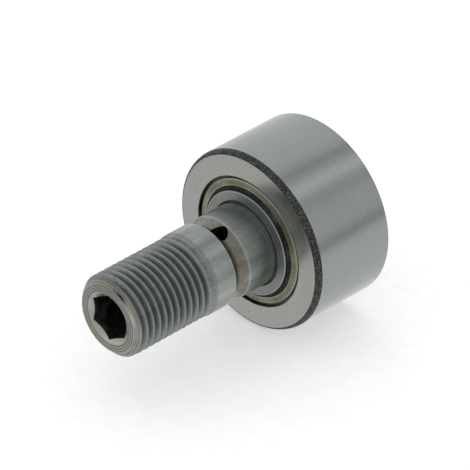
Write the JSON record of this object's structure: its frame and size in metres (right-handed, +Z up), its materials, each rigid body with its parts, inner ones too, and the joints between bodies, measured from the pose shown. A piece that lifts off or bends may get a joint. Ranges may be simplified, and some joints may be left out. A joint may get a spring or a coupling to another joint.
{
  "type": "cam follower",
  "caption": "Stud-type cam follower: thick steel outer ring on cylindrical rollers round a threaded stud, with lip seals, a lubrication groove and hexagon sockets.",
  "frame": {"origin": "on the stud's axis, in the plane of the flange ring's outer face that seats against the machine", "axes": "-Y along the stud towards its threaded end, +Y towards the head, +Z up through a corner of the hexagon socket"},
  "size_m": [0.035, 0.0528, 0.035],
  "materials": {
    "stud_steel": "ground shank, turned end faces, rolled thread",
    "flange_steel": "coarse turned face with rounded edge",
    "ring_steel": "satin ground tread and faces, dark unground corners",
    "seal_shell": "olive passivated sheet steel",
    "seal_rubber": "matt black moulded rubber",
    "roller_steel": "lapped bearing steel"
  },
  "bodies": {
    "stud_group": {"stud": "stud_steel", "flange_ring": "flange_steel"},
    "outer_ring_group": {"outer_ring": "ring_steel", "front_seal_shell": "seal_shell", "front_seal_lip": "seal_rubber", "rear_seal_shell": "seal_shell", "rear_seal_lip": "seal_rubber"},
    "front_row": {"front_roller_01": "roller_steel", "front_roller_02": "roller_steel", "front_roller_03": "roller_steel", "front_roller_04": "roller_steel", "front_roller_05": "roller_steel", "front_roller_06": "roller_steel", "front_roller_07": "roller_steel", "front_roller_08": "roller_steel", "front_roller_09": "roller_steel", "front_roller_10": "roller_steel", "front_roller_11": "roller_steel", "front_roller_12": "roller_steel", "front_roller_13": "roller_steel", "front_roller_14": "roller_steel", "front_roller_15": "roller_steel", "front_roller_16": "roller_steel", "front_roller_17": "roller_steel"},
    "rear_row": {"rear_roller_01": "roller_steel", "rear_roller_02": "roller_steel", "rear_roller_03": "roller_steel", "rear_roller_04": "roller_steel", "rear_roller_05": "roller_steel", "rear_roller_06": "roller_steel", "rear_roller_07": "roller_steel", "rear_roller_08": "roller_steel", "rear_roller_09": "roller_steel", "rear_roller_10": "roller_steel", "rear_roller_11": "roller_steel", "rear_roller_12": "roller_steel", "rear_roller_13": "roller_steel", "rear_roller_14": "roller_steel", "rear_roller_15": "roller_steel", "rear_roller_16": "roller_steel", "rear_roller_17": "roller_steel"}
  },
  "joints": [
    {"name": "outer_ring_spin", "type": "hinge", "parent": "stud_group", "child": "outer_ring_group", "pos_m": [0, 0.0098, 0], "axis": [0, 1, 0], "continuous": true},
    {"name": "front_row_orbit", "type": "hinge", "parent": "stud_group", "child": "front_row", "pos_m": [0, 0.0063, 0], "axis": [0, 1, 0], "continuous": true},
    {"name": "rear_row_orbit", "type": "hinge", "parent": "stud_group", "child": "rear_row", "pos_m": [0, 0.0133, 0], "axis": [0, 1, 0], "continuous": true}
  ],
  "couplings": [
    {"joint": "front_row_orbit", "follows": "outer_ring_spin", "ratio": 0.5918},
    {"joint": "rear_row_orbit", "follows": "outer_ring_spin", "ratio": 0.5918}
  ]
}
